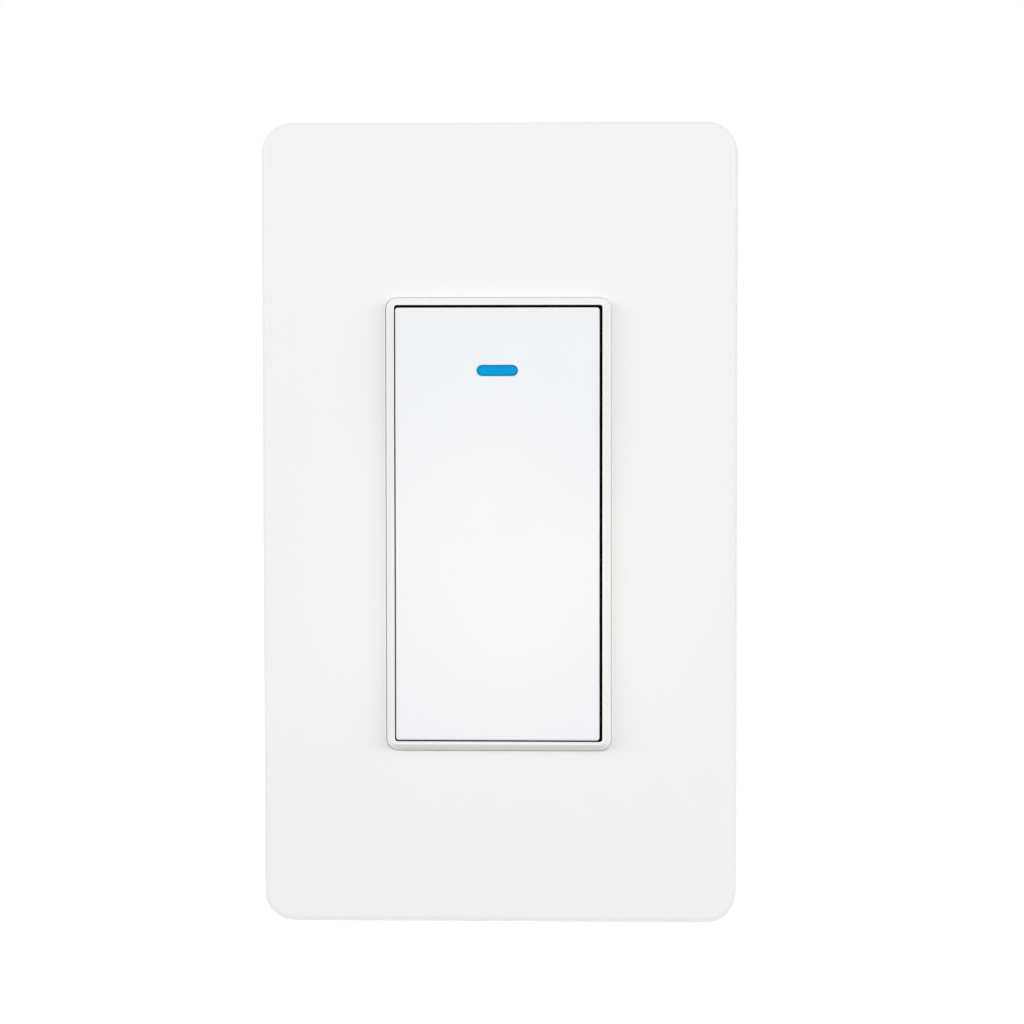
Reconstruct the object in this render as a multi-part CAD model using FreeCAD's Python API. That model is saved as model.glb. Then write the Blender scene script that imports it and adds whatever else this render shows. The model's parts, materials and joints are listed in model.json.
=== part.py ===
import FreeCAD, Part
import math
import os

# One-gang smart wall switch: screwless plate, collar with one press key, strap and body.
# Sizes are in millimetres. The wall surface is the plane y = 0, the front faces -y and z is up.
# The origin lies midway between the two box screws, in the plane of the wall.

V = FreeCAD.Vector
ORIGIN = V(0, 0, 0)
RIGHT = V(1, 0, 0)
INWARD = V(0, 1, 0)
UP = V(0, 0, 1)
wall_y = 0.0
touch = 1e-6
past = 1.0

# Wall plate
plate_w = 70.0
plate_h = 118.0
plate_depth = 6.0
plate_corner_r = 4.6
plate_draft = 0.3
plate_edge_r = 0.8
plate_face_t = 2.0
plate_side_t = 1.8
window_gap = 0.08
window_left = 0.04
window_down = 0.035
window_rib_w = 1.4
window_rib_gap = 0.25
snap_length = 9.0
snap_reach = 0.8
snap_height = 0.8
snap_gap = 0.1
snap_lead_in = 0.3
snap_land = 0.2
snap_across = 18.0
snap_up = 32.0
pry_notch_w = 8.0
pry_notch_depth = 1.1

# Collar that the key sits in
collar_w = 33.0
collar_h = 66.5
collar_corner_r = 1.7
collar_proud = 2.0
collar_foot = 0.4
rim_w = 1.28
opening_up = 0.18
rim_land = 0.25
rim_lip = 0.55
flank_bulge = 0.15
collar_wall = 0.65

# Key and the gaps round it
gap_left = 0.2
gap_right = 0.43
gap_top = 0.4
gap_bottom = 0.24
key_proud = 0.3
key_face_t = 1.8
key_skirt = 1.0
key_side = 2.8
key_corner_r = 0.4
key_edge_r = 0.25
key_travel = 1.2
key_rib_t = 1.0
key_rib_h = 1.4
key_rib_across = 10.5
key_rib_down = 26.0
key_rib_up = 18.0
boss_r = 2.2

# Hinge at the key's top end
hinge_from_edge = 2.7
hinge_behind = 3.9
hinge_across = 5.5
hinge_bar_r = 0.9
hinge_fit = 0.05
hinge_wall = 0.75
fork_w = 2.6
fork_side_gap = 0.2
hinge_mouth = 1.5

# Hooks that keep the key's lower end in
hook_across = 6.0
hook_w = 3.0
hook_t = 1.2
hook_catch = 0.8
hook_tip = 1.2
hook_from_edge = 2.9
hook_gap = 0.4
hook_rest = 0.05

# Light guide
bar_w = 6.0
bar_h = 1.6
bar_below_top = 9.15
guide_fit = 0.03
guide_flange_w = 8.4
guide_flange_h = 3.8
guide_flange_t = 0.9
guide_leg_r = 1.6
guide_leg_tip_r = 1.2
guide_leg = 2.1

# Tray behind the key
tray_wall = 0.55
tray_fit = 0.05
tray_floor = 1.5
bead_length = 4.0
bead_reach = 0.35
bead_height = 0.8
bead_y = -4.6
bead_up = 20.0
shield_r = 2.3
shield_t = 0.7
shield_front = 1.5
shield_rear = 1.7
post_r = 3.2
post_h = 1.2
floor_rib_h = 0.7
floor_rib_t = 1.0
floor_rib_pitch = 9.0
stem_gap = 0.8

# Mounting strap
strap_t = 1.2
strap_mid_w = 44.0
strap_mid_h = 67.0
strap_end_w = 19.0
strap_length = 105.8
strap_corner_r = 2.0
strap_window_w = 27.0
strap_window_h = 50.4
strap_window_z = 0.8
strap_bay_w = 18.0
strap_bay_down = 31.6
ear_r = 5.6
ear_past_edge = 4.3
ear_from_end = 6.0
ear_hole_r = 2.2
score_w = 0.5
score_depth = 0.4

# Fixings
box_screw_pitch = 83.3
box_slot_w = 6.8
box_slot_h = 4.0
box_screw_r = 1.75
box_screw_neck_r = 1.5
box_screw_length = 26.0
box_head_r = 3.7
box_head_h = 2.2
plate_screw_pitch = 96.8
plate_screw_r = 1.7
plate_screw_length = 9.0
plate_head_r = 3.3
plate_head_h = 1.5
thread_fit = 0.05
head_gap = 0.1
recess_w = 1.0
recess_share = 0.6
recess_depth = 0.4
head_crown = 0.5
quarter_turn = 90
full_turn = 360

# Sub-plate
sub_gap = 0.3
sub_t = 2.0
sub_window_gap = 0.35
sub_relief_r = 4.6
sub_foot_r = 3.0
sub_foot_across = 27.5
sub_foot_up = 51.0
sub_slot_l = 22.0
sub_slot_up = 17.6
sub_slot_w = 3.0
sub_slot_across = 27.5

# Earth tab and screw
earth_tab_h = 6.2
earth_tab_depth = 9.0
earth_bend_r = 1.1
earth_z = -37.5
earth_y = 4.8
earth_screw_r = 1.9
earth_screw_length = 5.2
earth_head_r = 3.8
earth_head_h = 2.2
earth_washer_rim = 0.15
earth_slot_depth = 0.9
earth_washer_t = 0.6

# Rear housing
body_w = 43.0
body_h = 66.0
body_depth = 31.0
body_corner_r = 3.0
body_edge_r = 1.2
body_wall = 1.8
post_across = 12.4
post_up = 28.5
housing_screw_r = 1.4
housing_screw_gap = 0.1
housing_head_r = 2.7
housing_head_h = 1.8
housing_head_sunk = 0.6
housing_post_r = 3.9
rail_w = 3.0
rail_t = 2.4
rail_up = 21.6
pad_r = 1.8
pad_across = 9.6
pad_up = 21.0

# Terminals, two on each side
terminal_up = 11.0
pocket_depth = 6.0
pocket_h = 11.0
pocket_wall = 1.8
pocket_floor = 3.0
pocket_span = 15.5
pocket_rear_wall = 2.5
plate_t = 1.2
plate_edge_gap = 0.8
tongue_w = 3.0
tongue_t = 0.8
tongue_in = 2.0
clamp_t = 1.0
clamp_lip = 1.1
clamp_lip_t = 0.9
wire_gap = 1.6
terminal_screw_r = 2.05
terminal_head_r = 3.5
terminal_head_h = 1.9
terminal_tip = 1.9
wire_hole_r = 1.5
wire_hole_across = 3.1
slot_fit = 0.1

# Boards
board_t = 1.6
board_gap = 0.4
control_board_y = 2.6
control_board_h = 48.4
power_board_h = 48.4
board_corner_r = 1.0
solder_gap = 1.6
board_hole_r = 0.5

# Tactile switch
tact_w = 6.2
tact_h = 3.4
tact_cover_t = 0.4
tact_stem_r = 1.75
tact_fit = 0.08
tact_below_hinge = 31.0
tact_stem_gap = 0.05
tact_stem_front = 2.8
tact_rivet_r = 0.4
tact_rivet_h = 0.2
tact_rivet_in = 1.0
tact_cover_in = 0.2
tact_corner_r = 0.3
tact_stem_edge_r = 0.2
tact_spare = 0.2

# Small parts on the control board
led_w = 3.4
led_h = 2.8
led_t = 1.8
led_lens_r = 1.1
led_lens_out = 0.44
small_r = 0.3
module_w = 24.0
module_h = 15.6
module_t = 0.8
module_z = -14.6
can_w = 17.0
can_h = 12.4
can_t = 2.2
can_shift = 2.8
chip_w = 6.6
chip_t = 1.0
chip_z = 9.5
chip_lead = 0.9
chip_lift = 0.1
chip_lead_t = 0.25
chip_lead_w = 0.35
chip_lead_pitch = 0.8
chip_lead_count = 7

# Small parts on the power board
case_r = 0.5
lead_side = 0.7
relay_w = 10.2
relay_h = 18.4
relay_t = 15.4
relay_x = 4.6
relay_z = 14.6
core_w = 11.0
core_h = 12.4
core_t = 9.6
core_band = 6.2
core_x = -6.2
core_z = 13.4
coil_r = 4.2
bobbin_inset = 0.5
bobbin_t = 1.2
capacitor_r = 4.0
capacitor_t = 12.0
capacitor_bead_up = 1.6
capacitor_bead_w = 0.6
capacitor_bead_d = 0.3
capacitor_x = -6.2
capacitor_zs = (-1.0, -10.2)
film_w = 5.2
film_h = 11.0
film_t = 10.4
film_x = 8.6
film_z = -18.4
fuse_r = 1.9
fuse_l = 9.2
fuse_cap = 1.8
fuse_z = -21.0
fuse_x = -4.4
fuse_lift = 0.4
fuse_glass_r = 1.65
varistor_r = 4.2
varistor_t = 3.4
varistor_x = 2.4
varistor_z = -9.4
varistor_lift = 1.0
varistor_edge_r = 1.0
varistor_leg_across = 2.5
header_x = 9.6
header_z = -0.8
pin_count = 6
header_pitch = 2.0
header_w = 2.4
header_t = 8.0
pin_side = 0.6
pin_past = 1.0

# Planes that follow from the sizes above
plate_front_y = wall_y - plate_depth
plate_inner_y = plate_front_y + plate_face_t
rim_y = plate_front_y - collar_proud
key_front_y = rim_y - key_proud
key_inner_y = key_front_y + key_face_t
strap_front_y = wall_y - strap_t
tray_front_y = rim_y + rim_lip + tray_fit
floor_y = strap_front_y - tray_floor
sub_front_y = strap_front_y - sub_t
opening_w = collar_w - 2 * rim_w
opening_h = collar_h - 2 * rim_w
key_w = opening_w - gap_left - gap_right
key_h = opening_h - gap_top - gap_bottom
key_x = (gap_left - gap_right) / 2
key_z = opening_up + (gap_bottom - gap_top) / 2
key_top = key_z + key_h / 2
key_bottom = key_z - key_h / 2
hinge_z = key_top - hinge_from_edge
hinge_y = key_front_y + hinge_behind
bar_z = key_top - bar_below_top
tact_z = hinge_z - tact_below_hinge
hook_z = key_bottom + hook_from_edge
tact_front_y = control_board_y - tact_h
stem_front_y = tact_front_y - tact_stem_front
tact_travel = key_travel * tact_below_hinge / (hinge_z - key_bottom)
control_rear_y = control_board_y + board_t
power_rear_y = body_depth - body_wall - solder_gap
power_board_y = power_rear_y - board_t
ear_across = strap_end_w / 2 + ear_past_edge
ear_up = strap_length / 2 - ear_from_end
pocket_front = body_depth - pocket_span
pocket_floor_x = body_w / 2 - pocket_depth
pocket_rear_y = body_depth - pocket_rear_wall
pocket_mid_y = (pocket_front + pocket_rear_y) / 2
control_board_w = body_w - 2 * (body_wall + board_gap)
power_board_w = 2 * (pocket_floor_x - pocket_floor - board_gap)
sub_w = plate_w - 2 * (plate_side_t + sub_gap)
sub_h = plate_h - 2 * (plate_side_t + sub_gap)


# Shapes that repeat
def outline(w, h, r, y, x=0.0, z=0.0):
    """A rounded rectangle seen from the front, as a closed wire in the plane y."""
    r = max(min(r, w / 2, h / 2), 0.0)
    turns = []
    for quarter, (side_x, side_z) in enumerate(((1, 1), (-1, 1), (-1, -1), (1, -1))):
        centre = V(x + side_x * (w / 2 - r), y, z + side_z * (h / 2 - r))
        angles = [(quarter + step / 2) * math.pi / 2 for step in range(3)]
        turns.append([centre + V(r * math.cos(a), 0, r * math.sin(a)) for a in angles])
    edges = []
    for here, after in zip(turns, turns[1:] + turns[:1]):
        if r > touch:
            edges.append(Part.Arc(*here).toShape())
        if (after[0] - here[2]).Length > touch:
            edges.append(Part.LineSegment(here[2], after[0]).toShape())
    return Part.Wire(edges)


def slab(w, h, r, y0, y1, x=0.0, z=0.0):
    """A block with a rounded outline, from the plane y0 back to y1."""
    return Part.Face(outline(w, h, r, y0, x, z)).extrude(V(0, y1 - y0, 0))


def block(x0, x1, y0, y1, z0, z1):
    """A square block between two corners given in any order."""
    low = V(min(x0, x1), min(y0, y1), min(z0, z1))
    return Part.makeBox(abs(x1 - x0), abs(y1 - y0), abs(z1 - z0), low)


def rod(r, y0, y1, x=0.0, z=0.0):
    """A round rod from the plane y0 back to y1."""
    return Part.makeCylinder(r, y1 - y0, V(x, y0, z), INWARD)


def cross_rod(r, x0, x1, y, z):
    """A round rod across the switch from x0 to x1."""
    return Part.makeCylinder(r, x1 - x0, V(x0, y, z), RIGHT)


def prism(points, along):
    """A straight prism on a flat outline."""
    return Part.Face(Part.makePolygon(points + points[:1])).extrude(along)


def joined(shapes):
    """Shapes of one piece fused, with the seams between flush faces taken out."""
    return shapes[0].multiFuse(shapes[1:]).removeSplitter()


def without(shape, cutters):
    """A shape with every cutter taken out of it."""
    return shape.cut(cutters) if cutters else shape


def edges_in_plane(shape, y):
    """The edges that lie wholly in the plane y."""
    return [e for e in shape.Edges if all(abs(v.Point.y - y) < touch for v in e.Vertexes)]


def both_ways(places):
    """Every sign of a pair of offsets: four places."""
    across, up = places
    return [(sx * across, sz * up) for sx in (-1, 1) for sz in (-1, 1)]


def screw(head_r, head_h, shank_r, length, neck_r=None, neck=0.0):
    """A pan-head screw with a cross recess, seated at the origin and pointing along +y."""
    neck_r = shank_r if neck_r is None else neck_r
    point = shank_r / 3
    start = V(0, -head_h, 0)
    shoulder = V(head_r, -head_h * head_crown, 0)
    drop = shoulder.y - start.y
    dome_r = (head_r**2 + drop**2) / (2 * drop)
    half_turn = math.asin(head_r / dome_r) / 2
    bow = V(dome_r * math.sin(half_turn), start.y + dome_r * (1 - math.cos(half_turn)), 0)
    line = [shoulder, V(head_r, 0, 0), V(neck_r, 0, 0), V(neck_r, neck, 0), V(shank_r, neck, 0)]
    line += [V(shank_r, length - point, 0), V(shank_r - point, length, 0), V(0, length, 0), start]
    line = [p for p, q in zip(line, line[1:] + [None]) if q is None or (p - q).Length > touch]
    edges = [Part.Arc(start, bow, shoulder).toShape()]
    edges += [Part.LineSegment(p, q).toShape() for p, q in zip(line, line[1:])]
    body = Part.Face(Part.Wire(edges)).revolve(ORIGIN, INWARD, full_turn)
    return without(body, cross_recess(head_r, -head_h))


def cross_recess(head_r, top_y):
    """The two crossed slots of a driver recess, cut in from the plane top_y."""
    reach = head_r * recess_share
    deep = top_y + head_r * recess_depth
    return [
        block(-reach, reach, top_y - past, deep, -recess_w / 2, recess_w / 2),
        block(-recess_w / 2, recess_w / 2, top_y - past, deep, -reach, reach),
    ]


def moved(shape, x=0.0, y=0.0, z=0.0):
    """A copy of a shape at another place."""
    return shape.translated(V(x, y, z))


def to_left(shape):
    """A copy of a shape on the other side of the middle plane."""
    return shape.mirror(ORIGIN, RIGHT)


# Wall plate
def snap_bead(length):
    """A wedge along z that stands out of a wall at x = 0 towards -x, with its front face at y = 0."""
    land_y = snap_height * snap_lead_in
    points = [V(touch, 0, 0), V(-snap_reach, land_y, 0)]
    points += [V(-snap_reach, land_y + snap_land, 0), V(touch, snap_height, 0)]
    return prism([p - V(0, 0, length / 2) for p in points], V(0, 0, length))


def snap_beads():
    """The beads inside the plate's four walls that catch behind the sub-plate."""
    bead = moved(snap_bead(snap_length), 0, strap_front_y + snap_gap, 0)
    half_w = plate_w / 2 - plate_side_t
    half_h = plate_h / 2 - plate_side_t
    beads = []
    for quarter in range(4):
        reach, offset = ((half_w, snap_up), (half_h, snap_across))[quarter % 2]
        for side in (-1, 1):
            one = moved(bead, reach, 0, side * offset)
            beads.append(one.rotated(ORIGIN, INWARD, quarter * quarter_turn))
    return beads


def wall_plate():
    front_r = plate_corner_r - plate_draft
    rear = outline(plate_w, plate_h, plate_corner_r, wall_y)
    front = outline(plate_w - 2 * plate_draft, plate_h - 2 * plate_draft, front_r, plate_front_y)
    body = Part.makeLoft([rear, front], True, True)
    body = body.makeFillet(plate_edge_r, edges_in_plane(body, plate_front_y))
    inner_w = plate_w - 2 * plate_side_t
    inner_h = plate_h - 2 * plate_side_t
    inner_r = plate_corner_r - plate_side_t
    hollow = slab(inner_w, inner_h, inner_r, plate_inner_y, wall_y)
    window_w = collar_w + 2 * window_gap
    window_h = collar_h + 2 * window_gap
    window_r = collar_corner_r + window_gap
    rib_y = sub_front_y - window_rib_gap
    rib_w = window_w + 2 * window_rib_w
    rib_h = window_h + 2 * window_rib_w
    mid = (-window_left, -window_down)
    rib = slab(rib_w, rib_h, window_r + window_rib_w, plate_inner_y - touch, rib_y, *mid)
    window = slab(window_w, window_h, window_r, plate_front_y - past, wall_y, *mid)
    notch_x = pry_notch_w / 2
    notch = block(-notch_x, notch_x, wall_y - pry_notch_depth, wall_y, -plate_h, touch - inner_h / 2)
    return without(joined([body.cut(hollow), rib] + snap_beads()), [window, notch])


# Sub-plate
def plate_screw_holes():
    """Countersunk holes for the screws that hold the sub-plate."""
    cutters = []
    for side in (-1, 1):
        z = side * plate_screw_pitch / 2
        hole_r = plate_screw_r + head_gap
        sink_r = plate_head_r + head_gap
        sink = Part.makeCone(sink_r, hole_r, plate_head_h, V(0, sub_front_y, z), INWARD)
        cutters += [sink, rod(hole_r, sub_front_y, strap_front_y, 0, z)]
    return cutters


def sub_plate():
    sub_r = plate_corner_r - plate_side_t - sub_gap
    sheet = slab(sub_w, sub_h, sub_r, sub_front_y, strap_front_y)
    feet_at = both_ways((sub_foot_across, sub_foot_up))
    feet = [rod(sub_foot_r, strap_front_y, wall_y, x, z) for x, z in feet_at]
    window_w = collar_w + 2 * sub_window_gap
    window_h = collar_h + 2 * sub_window_gap
    window = slab(window_w, window_h, collar_corner_r + sub_window_gap, sub_front_y, strap_front_y)
    cutters = [window] + plate_screw_holes()
    for side in (-1, 1):
        cutters.append(rod(sub_relief_r, sub_front_y, strap_front_y, 0, side * box_screw_pitch / 2))
    for x, z in both_ways((sub_slot_across, sub_slot_up)):
        cutters.append(slab(sub_slot_w, sub_slot_l, sub_slot_w / 2, sub_front_y, strap_front_y, x, z))
    return without(joined([sheet] + feet), cutters)


def sub_plate_screw():
    """A flat-head screw with its head's face at the origin, pointing along +y."""
    point = plate_screw_r / 3
    line = [V(0, 0, 0), V(plate_head_r, 0, 0), V(plate_screw_r, plate_head_h, 0)]
    line += [V(plate_screw_r, plate_screw_length - point, 0)]
    line += [V(plate_screw_r - point, plate_screw_length, 0), V(0, plate_screw_length, 0)]
    body = Part.Face(Part.makePolygon(line + line[:1])).revolve(ORIGIN, INWARD, full_turn)
    slot = block(-plate_head_r, plate_head_r, -past, plate_head_h / 2, -recess_w / 2, recess_w / 2)
    return body.cut(slot)


def sub_plate_screws():
    return [moved(sub_plate_screw(), 0, sub_front_y, s * plate_screw_pitch / 2) for s in (-1, 1)]


# Collar
def collar_profile(y_top):
    """The collar's section on its right-hand side, where its straight part ends."""
    z = collar_h / 2 - collar_corner_r
    outer = collar_w / 2
    shoulder = V(outer, plate_front_y - collar_foot, z)
    land = V(outer - rim_w + rim_land, y_top, z)
    chord = land - shoulder
    out = V(-chord.y, chord.x, 0)
    out.normalize()
    bow = (shoulder + land) / 2 + (out if out.x > 0 else -out) * flank_bulge
    reach = outer - rim_w - 2 * opening_up
    inner = V(reach, y_top, z)
    lip = V(reach, y_top + rim_lip, z)
    step = V(outer - collar_wall, y_top + rim_lip, z)
    foot = V(outer - collar_wall, strap_front_y, z)
    base = V(outer, strap_front_y, z)
    line = [land, inner, lip, step, foot, base, shoulder]
    edges = [Part.LineSegment(p, q).toShape() for p, q in zip(line, line[1:])]
    return Part.Wire(edges + [Part.Arc(shoulder, bow, land).toShape()])


def bead_places():
    """Where the tray's beads lock into the collar: two on each long side, one on each short side."""
    half_w = collar_w / 2 - collar_wall
    half_h = collar_h / 2 - collar_wall
    places = []
    for turn in (0, 2 * quarter_turn):
        places += [(turn, half_w, bead_up), (turn, half_w, -bead_up)]
        places.append((turn + quarter_turn, half_h, 0))
    return places


def bezel_frame():
    path = outline(collar_w, collar_h, collar_corner_r, rim_y)
    ring = path.makePipeShell([collar_profile(rim_y)], True, False)
    opening_r = collar_corner_r - rim_w
    opening = slab(opening_w, opening_h, opening_r, rim_y - past, rim_y + rim_lip + past, 0, opening_up)
    cutters = [opening]
    for turn, reach, offset in bead_places():
        half = bead_length / 2 + tray_fit
        front = bead_y - tray_fit
        rear = bead_y + bead_height + tray_fit
        hole = block(reach - past, reach + collar_wall + past, front, rear, offset - half, offset + half)
        cutters.append(hole.rotated(ORIGIN, INWARD, turn))
    return ring.cut(cutters)


# Tray behind the key
def tray_beads():
    """The wedges on the tray's walls that lock into the collar."""
    beads = []
    for turn, reach, offset in bead_places():
        x = reach - tray_fit
        points = [V(x - touch, bead_y, 0), V(x + bead_reach, bead_y + bead_height, 0)]
        points += [V(x - touch, bead_y + bead_height, 0)]
        points = [p + V(0, 0, offset - bead_length / 2) for p in points]
        beads.append(prism(points, V(0, 0, bead_length)).rotated(ORIGIN, INWARD, turn))
    return beads


def hinge_forks():
    """The two open seats that the key's hinge bars snap into."""
    forks = []
    outer_r = hinge_bar_r + hinge_fit + hinge_wall
    for side in (-1, 1):
        x0 = side * hinge_across - fork_w / 2 + key_x
        seat = cross_rod(outer_r, x0, x0 + fork_w, hinge_y, hinge_z)
        stem = block(x0, x0 + fork_w, hinge_y, floor_y + touch, hinge_z - outer_r, hinge_z + outer_r)
        bore = cross_rod(hinge_bar_r + hinge_fit, x0, x0 + fork_w, hinge_y, hinge_z)
        half = hinge_mouth / 2
        mouth = block(x0, x0 + fork_w, hinge_y - outer_r, hinge_y, hinge_z - half, hinge_z + half)
        forks.append(without(joined([seat, stem]), [bore, mouth]))
    return forks


def hook_slots():
    """Holes in the tray's floor that the key's hooks pass through."""
    slots = []
    w = hook_w + 2 * hook_gap
    h = hook_t + 2 * hook_gap
    for side in (-1, 1):
        slots.append(slab(w, h, 0.0, floor_y - touch, strap_front_y, key_x + side * hook_across, hook_z))
    return slots


def key_carrier():
    outer_w = collar_w - 2 * (collar_wall + tray_fit)
    outer_h = collar_h - 2 * (collar_wall + tray_fit)
    outer_r = collar_corner_r - collar_wall - tray_fit
    inner_r = max(outer_r - tray_wall, 0.0)
    inner_w = outer_w - 2 * tray_wall
    inner_h = outer_h - 2 * tray_wall
    tray = slab(outer_w, outer_h, outer_r, tray_front_y, strap_front_y)
    well = slab(inner_w, inner_h, inner_r, tray_front_y, floor_y)
    pieces = [tray.cut(well)] + tray_beads() + hinge_forks()
    cutters = hook_slots()
    for x, z in both_ways((post_across, post_up)):
        post = rod(post_r, floor_y - post_h, floor_y + touch, x, z)
        pieces.append(post.common(well))
        cutters.append(rod(housing_screw_r + thread_fit, floor_y - post_h / 2, strap_front_y, x, z))
    for step in (-1, 1):
        z = tact_z + step * floor_rib_pitch
        rib_w = inner_w + 2 * touch
        pieces.append(slab(rib_w, floor_rib_t, 0.0, floor_y - floor_rib_h, floor_y + touch, 0, z))
    shield_front_y = floor_y - shield_front
    shield_rear_y = strap_front_y + shield_rear
    tube = rod(shield_r + shield_t, shield_front_y, shield_rear_y, key_x, bar_z)
    cutters.append(rod(shield_r, shield_front_y, shield_rear_y, key_x, bar_z))
    cutters.append(rod(tact_stem_r + stem_gap, floor_y, strap_front_y, key_x, tact_z))
    return without(joined(pieces + [tube]), cutters)


# Key
def key_hinge_bars():
    """Two short bars between pairs of ribs, on one axis across the key's top end."""
    pieces = []
    rib_r = hinge_bar_r + fork_side_gap * 2
    for side in (-1, 1):
        x = key_x + side * hinge_across
        half = fork_w / 2 + fork_side_gap
        pieces.append(cross_rod(hinge_bar_r, x - half - touch, x + half + touch, hinge_y, hinge_z))
        for rib_x in (x - half - key_rib_t, x + half):
            pieces.append(cross_rod(rib_r, rib_x, rib_x + key_rib_t, hinge_y, hinge_z))
            web_x = rib_x + key_rib_t / 2
            pieces.append(slab(key_rib_t, 2 * rib_r, 0.0, key_inner_y - touch, hinge_y, web_x, hinge_z))
    return pieces


def key_hooks():
    """Legs near the lower edge, each with a barb that catches behind the tray's floor."""
    hooks = []
    catch_y = strap_front_y + hook_rest
    tip_y = catch_y + hook_tip
    for side in (-1, 1):
        x = key_x + side * hook_across - hook_w / 2
        top = hook_z + hook_t / 2
        low = hook_z - hook_t / 2
        points = [V(x, key_inner_y - touch, top), V(x, tip_y, top), V(x, tip_y, low)]
        points += [V(x, catch_y + hook_tip / 3, low - hook_catch), V(x, catch_y, low - hook_catch)]
        points += [V(x, catch_y, low), V(x, key_inner_y - touch, low)]
        hooks.append(prism(points, V(hook_w, 0, 0)))
    return hooks


def key_ribs():
    """Shallow ribs that keep the long face flat."""
    ribs = []
    front_y = key_inner_y - touch
    rear_y = key_inner_y + key_rib_h
    middle = (key_rib_up - key_rib_down) / 2
    for side in (-1, 1):
        x = key_x + side * key_rib_across
        ribs.append(slab(key_rib_t, key_rib_up + key_rib_down, 0.0, front_y, rear_y, x, middle))
    for z in (key_rib_t / 2 - key_rib_down, tact_z, key_rib_up - key_rib_t / 2):
        ribs.append(slab(2 * key_rib_across, key_rib_t, 0.0, front_y, rear_y, key_x, z))
    return ribs


def key():
    rear_y = key_front_y + key_side
    cap = slab(key_w, key_h, key_corner_r, key_front_y, rear_y, key_x, key_z)
    cap = cap.makeFillet(key_edge_r, edges_in_plane(cap, key_front_y))
    inner_w = key_w - 2 * key_skirt
    inner_h = key_h - 2 * key_skirt
    hollow = slab(inner_w, inner_h, key_corner_r, key_inner_y, rear_y, key_x, key_z)
    boss = rod(boss_r, key_inner_y - touch, stem_front_y - tact_stem_gap, key_x, tact_z)
    slot_w = bar_w + 2 * guide_fit
    slot_h = bar_h + 2 * guide_fit
    slot = slab(slot_w, slot_h, slot_h / 2, key_front_y - past, key_inner_y + past, key_x, bar_z)
    return joined([cap.cut(hollow), boss] + key_ribs() + key_hinge_bars() + key_hooks()).cut(slot)


def light_guide():
    w = guide_flange_w
    h = guide_flange_h
    flange_y = key_inner_y + guide_flange_t
    head = slab(bar_w, bar_h, bar_h / 2, key_front_y, key_inner_y + touch, key_x, bar_z)
    flange = slab(w, h, h / 2, key_inner_y, flange_y, key_x, bar_z)
    leg_at = V(key_x, flange_y - touch, bar_z)
    leg = Part.makeCone(guide_leg_r, guide_leg_tip_r, guide_leg, leg_at, INWARD)
    return joined([head, flange, leg])


# Mounting strap
def strap_blank():
    """The strap's flat outline, with a wide middle, narrow ends and a round ear at each corner."""
    parts = [
        slab(strap_mid_w, strap_mid_h, strap_corner_r, strap_front_y, wall_y),
        slab(strap_end_w, strap_length, strap_corner_r, strap_front_y, wall_y),
    ]
    parts += [rod(ear_r, strap_front_y, wall_y, x, z) for x, z in both_ways((ear_across, ear_up))]
    return joined(parts)


def earth_tab(y1):
    """The tab at the strap's lower left edge, back to the plane y1."""
    x = -strap_end_w / 2
    half = earth_tab_h / 2
    return block(x, x + strap_t, strap_front_y, y1, earth_z - half, earth_z + half)


def bent_tab():
    """The tab with its outer bend rounded."""
    tab = earth_tab(earth_tab_depth)
    corner_x = -strap_end_w / 2
    bend = [e for e in edges_in_plane(tab, strap_front_y) if abs(e.CenterOfMass.x - corner_x) < touch]
    return tab.makeFillet(min(earth_bend_r, strap_t - touch), bend)


def strap_holes():
    """Everything cut through the strap's flat sheet."""
    y0 = strap_front_y
    window = slab(strap_window_w, strap_window_h, strap_corner_r, y0, wall_y, 0, strap_window_z)
    bay_h = strap_bay_down + strap_corner_r
    bay = slab(strap_bay_w, bay_h, strap_corner_r, y0, wall_y, 0, bay_h / 2 - strap_bay_down)
    holes = [window, bay]
    holes += [rod(ear_hole_r, y0, wall_y, x, z) for x, z in both_ways((ear_across, ear_up))]
    for x, z in both_ways((strap_end_w / 2 + score_w, ear_up)):
        holes.append(slab(score_w, 2 * ear_r, 0.0, y0, y0 + score_depth, x, z))
    for x, z in both_ways((post_across, post_up)):
        holes.append(rod(housing_screw_r + housing_screw_gap, y0, wall_y, x, z))
    for side in (-1, 1):
        slot_z = side * box_screw_pitch / 2
        holes.append(slab(box_slot_w, box_slot_h, box_slot_h / 2, y0, wall_y, 0, slot_z))
        holes.append(rod(plate_screw_r + thread_fit, y0, wall_y, 0, side * plate_screw_pitch / 2))
    return holes


def mounting_strap():
    sheet = strap_blank().cut(earth_tab(wall_y))
    x = -strap_end_w / 2
    tapped = cross_rod(earth_screw_r + thread_fit, x - past, x + strap_t + past, earth_y, earth_z)
    return without(joined([sheet, bent_tab()]), strap_holes() + [tapped])


def box_screws():
    one = screw(box_head_r, box_head_h, box_screw_r, box_screw_length + strap_t, box_screw_neck_r, strap_t)
    return [moved(one, 0, strap_front_y, s * box_screw_pitch / 2) for s in (-1, 1)]


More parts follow.
